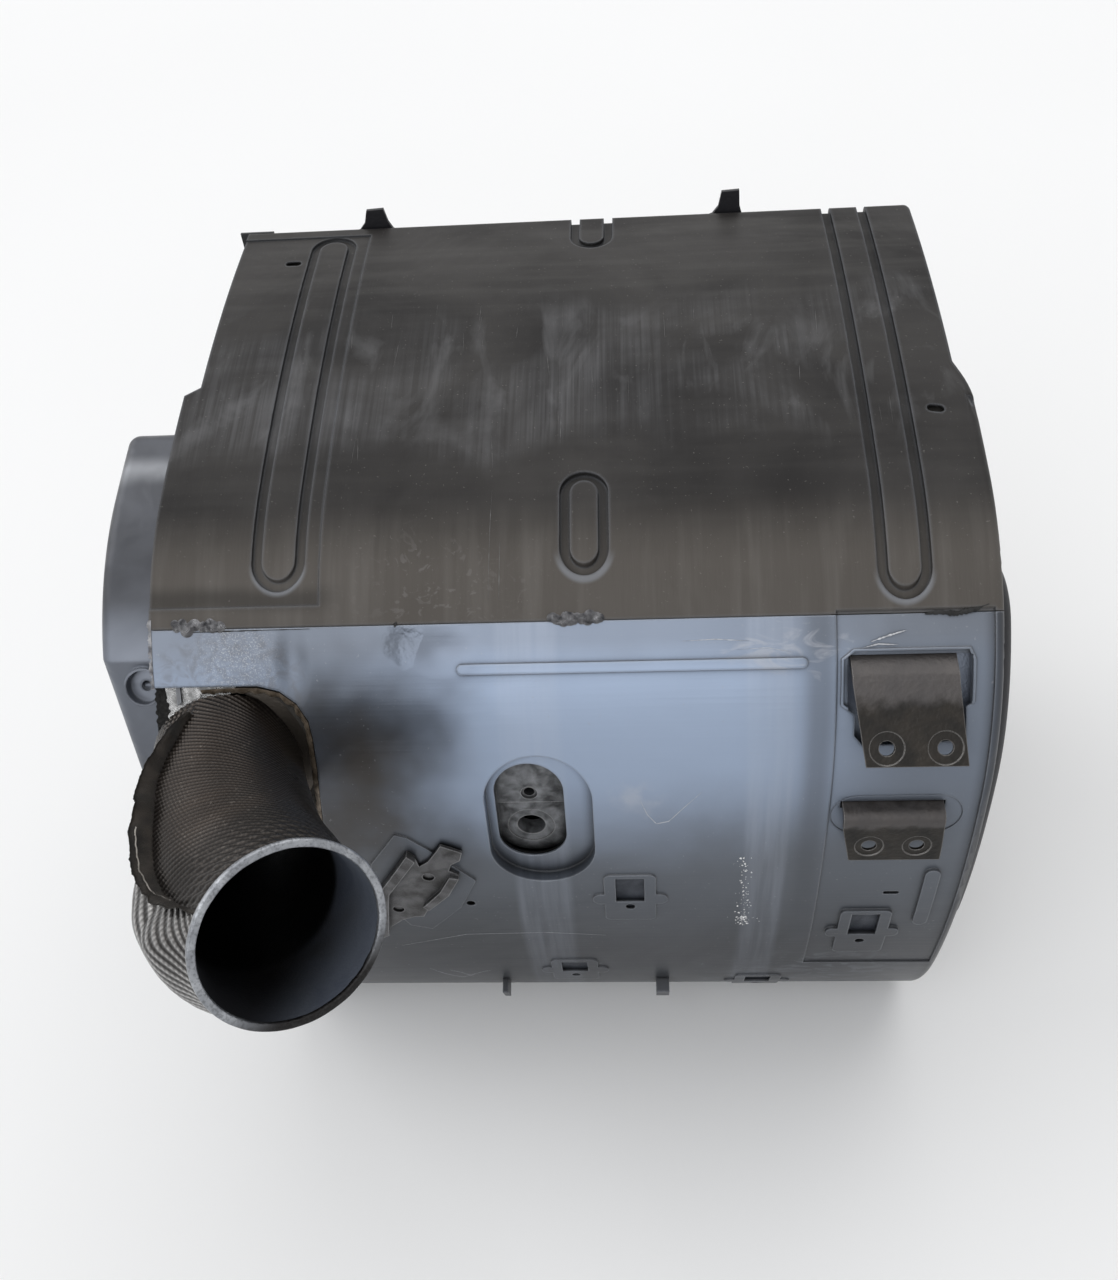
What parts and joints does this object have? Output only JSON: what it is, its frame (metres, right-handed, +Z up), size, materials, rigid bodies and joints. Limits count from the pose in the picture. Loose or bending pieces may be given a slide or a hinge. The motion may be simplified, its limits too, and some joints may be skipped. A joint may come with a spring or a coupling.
{
  "type": "exhaust aftertreatment unit",
  "caption": "Insulated steel box with rounded covers, a shielded elbow inlet at the left front, a sensor port, folded mounting brackets and a rear outlet, with catalyst bricks inside.",
  "frame": {"origin": "the base mount: on the underside, at the middle of the body's width, 292 mm in front of the rear face", "axes": "X runs across the unit to its right as seen from the front, -Y is the front with the elbow inlet, +Z is up"},
  "size_m": [0.78, 0.886, 0.7296],
  "materials": {
    "top_sheet": "heat-darkened rolled sheet",
    "front_sheet": "satin rolled sheet",
    "base_sheet": "satin rolled sheet",
    "cap_sheet": "satin pressed sheet",
    "black_sheet": "matte black",
    "gas_steel": "heat-tinted",
    "ring_steel": "machined",
    "foil": "dimpled foil, browned by heat",
    "fibre": "soft fibre mat",
    "honeycomb": "unglazed",
    "cast": "as cast",
    "bracket_steel": "browned by heat",
    "nut_steel": "plain",
    "weld": "as welded"
  },
  "bodies": {
    "root": {"base_tray": "base_sheet", "clip_bracket": "front_sheet", "clip_nut_a": "nut_steel", "clip_nut_b": "nut_steel", "clip_nut_c": "nut_steel", "clip_nut_d": "nut_steel", "dosing_port": "ring_steel", "elbow_insulation": "fibre", "filter_brick": "honeycomb", "filter_can": "gas_steel", "filter_mat": "fibre", "front_cover": "front_sheet", "inlet_collar": "foil", "inlet_flange": "ring_steel", "inlet_pipe": "gas_steel", "inner_casing": "gas_steel", "insulation_blanket": "fibre", "left_baffle": "gas_steel", "left_divider": "gas_steel", "left_end_cap": "cap_sheet", "left_end_plate": "base_sheet", "lower_bracket": "bracket_steel", "lower_collar": "front_sheet", "lower_lug_left": "front_sheet", "lower_lug_right": "front_sheet", "mixer_tube": "gas_steel", "outlet_pipe": "gas_steel", "oxidation_brick": "honeycomb", "oxidation_mat": "fibre", "rear_corner_hook": "black_sheet", "rear_hook_left": "black_sheet", "rear_hook_right": "black_sheet", "right_baffle": "gas_steel", "right_divider": "gas_steel", "right_end_cap": "black_sheet", "right_end_plate": "base_sheet", "scr_brick_front": "honeycomb", "scr_brick_rear": "honeycomb", "scr_can_front": "gas_steel", "scr_can_rear": "gas_steel", "scr_mat_front": "fibre", "scr_mat_rear": "fibre", "seam_strip": "front_sheet", "seam_weld_left": "weld", "seam_weld_middle": "weld", "sensor_block": "cast", "shield_lower": "foil", "shield_upper": "foil", "slip_brick_front": "honeycomb", "slip_brick_rear": "honeycomb", "slip_mat_front": "fibre", "slip_mat_rear": "fibre", "swirl_mixer": "gas_steel", "top_cover": "top_sheet", "upper_bracket": "bracket_steel"}
  },
  "joints": []
}
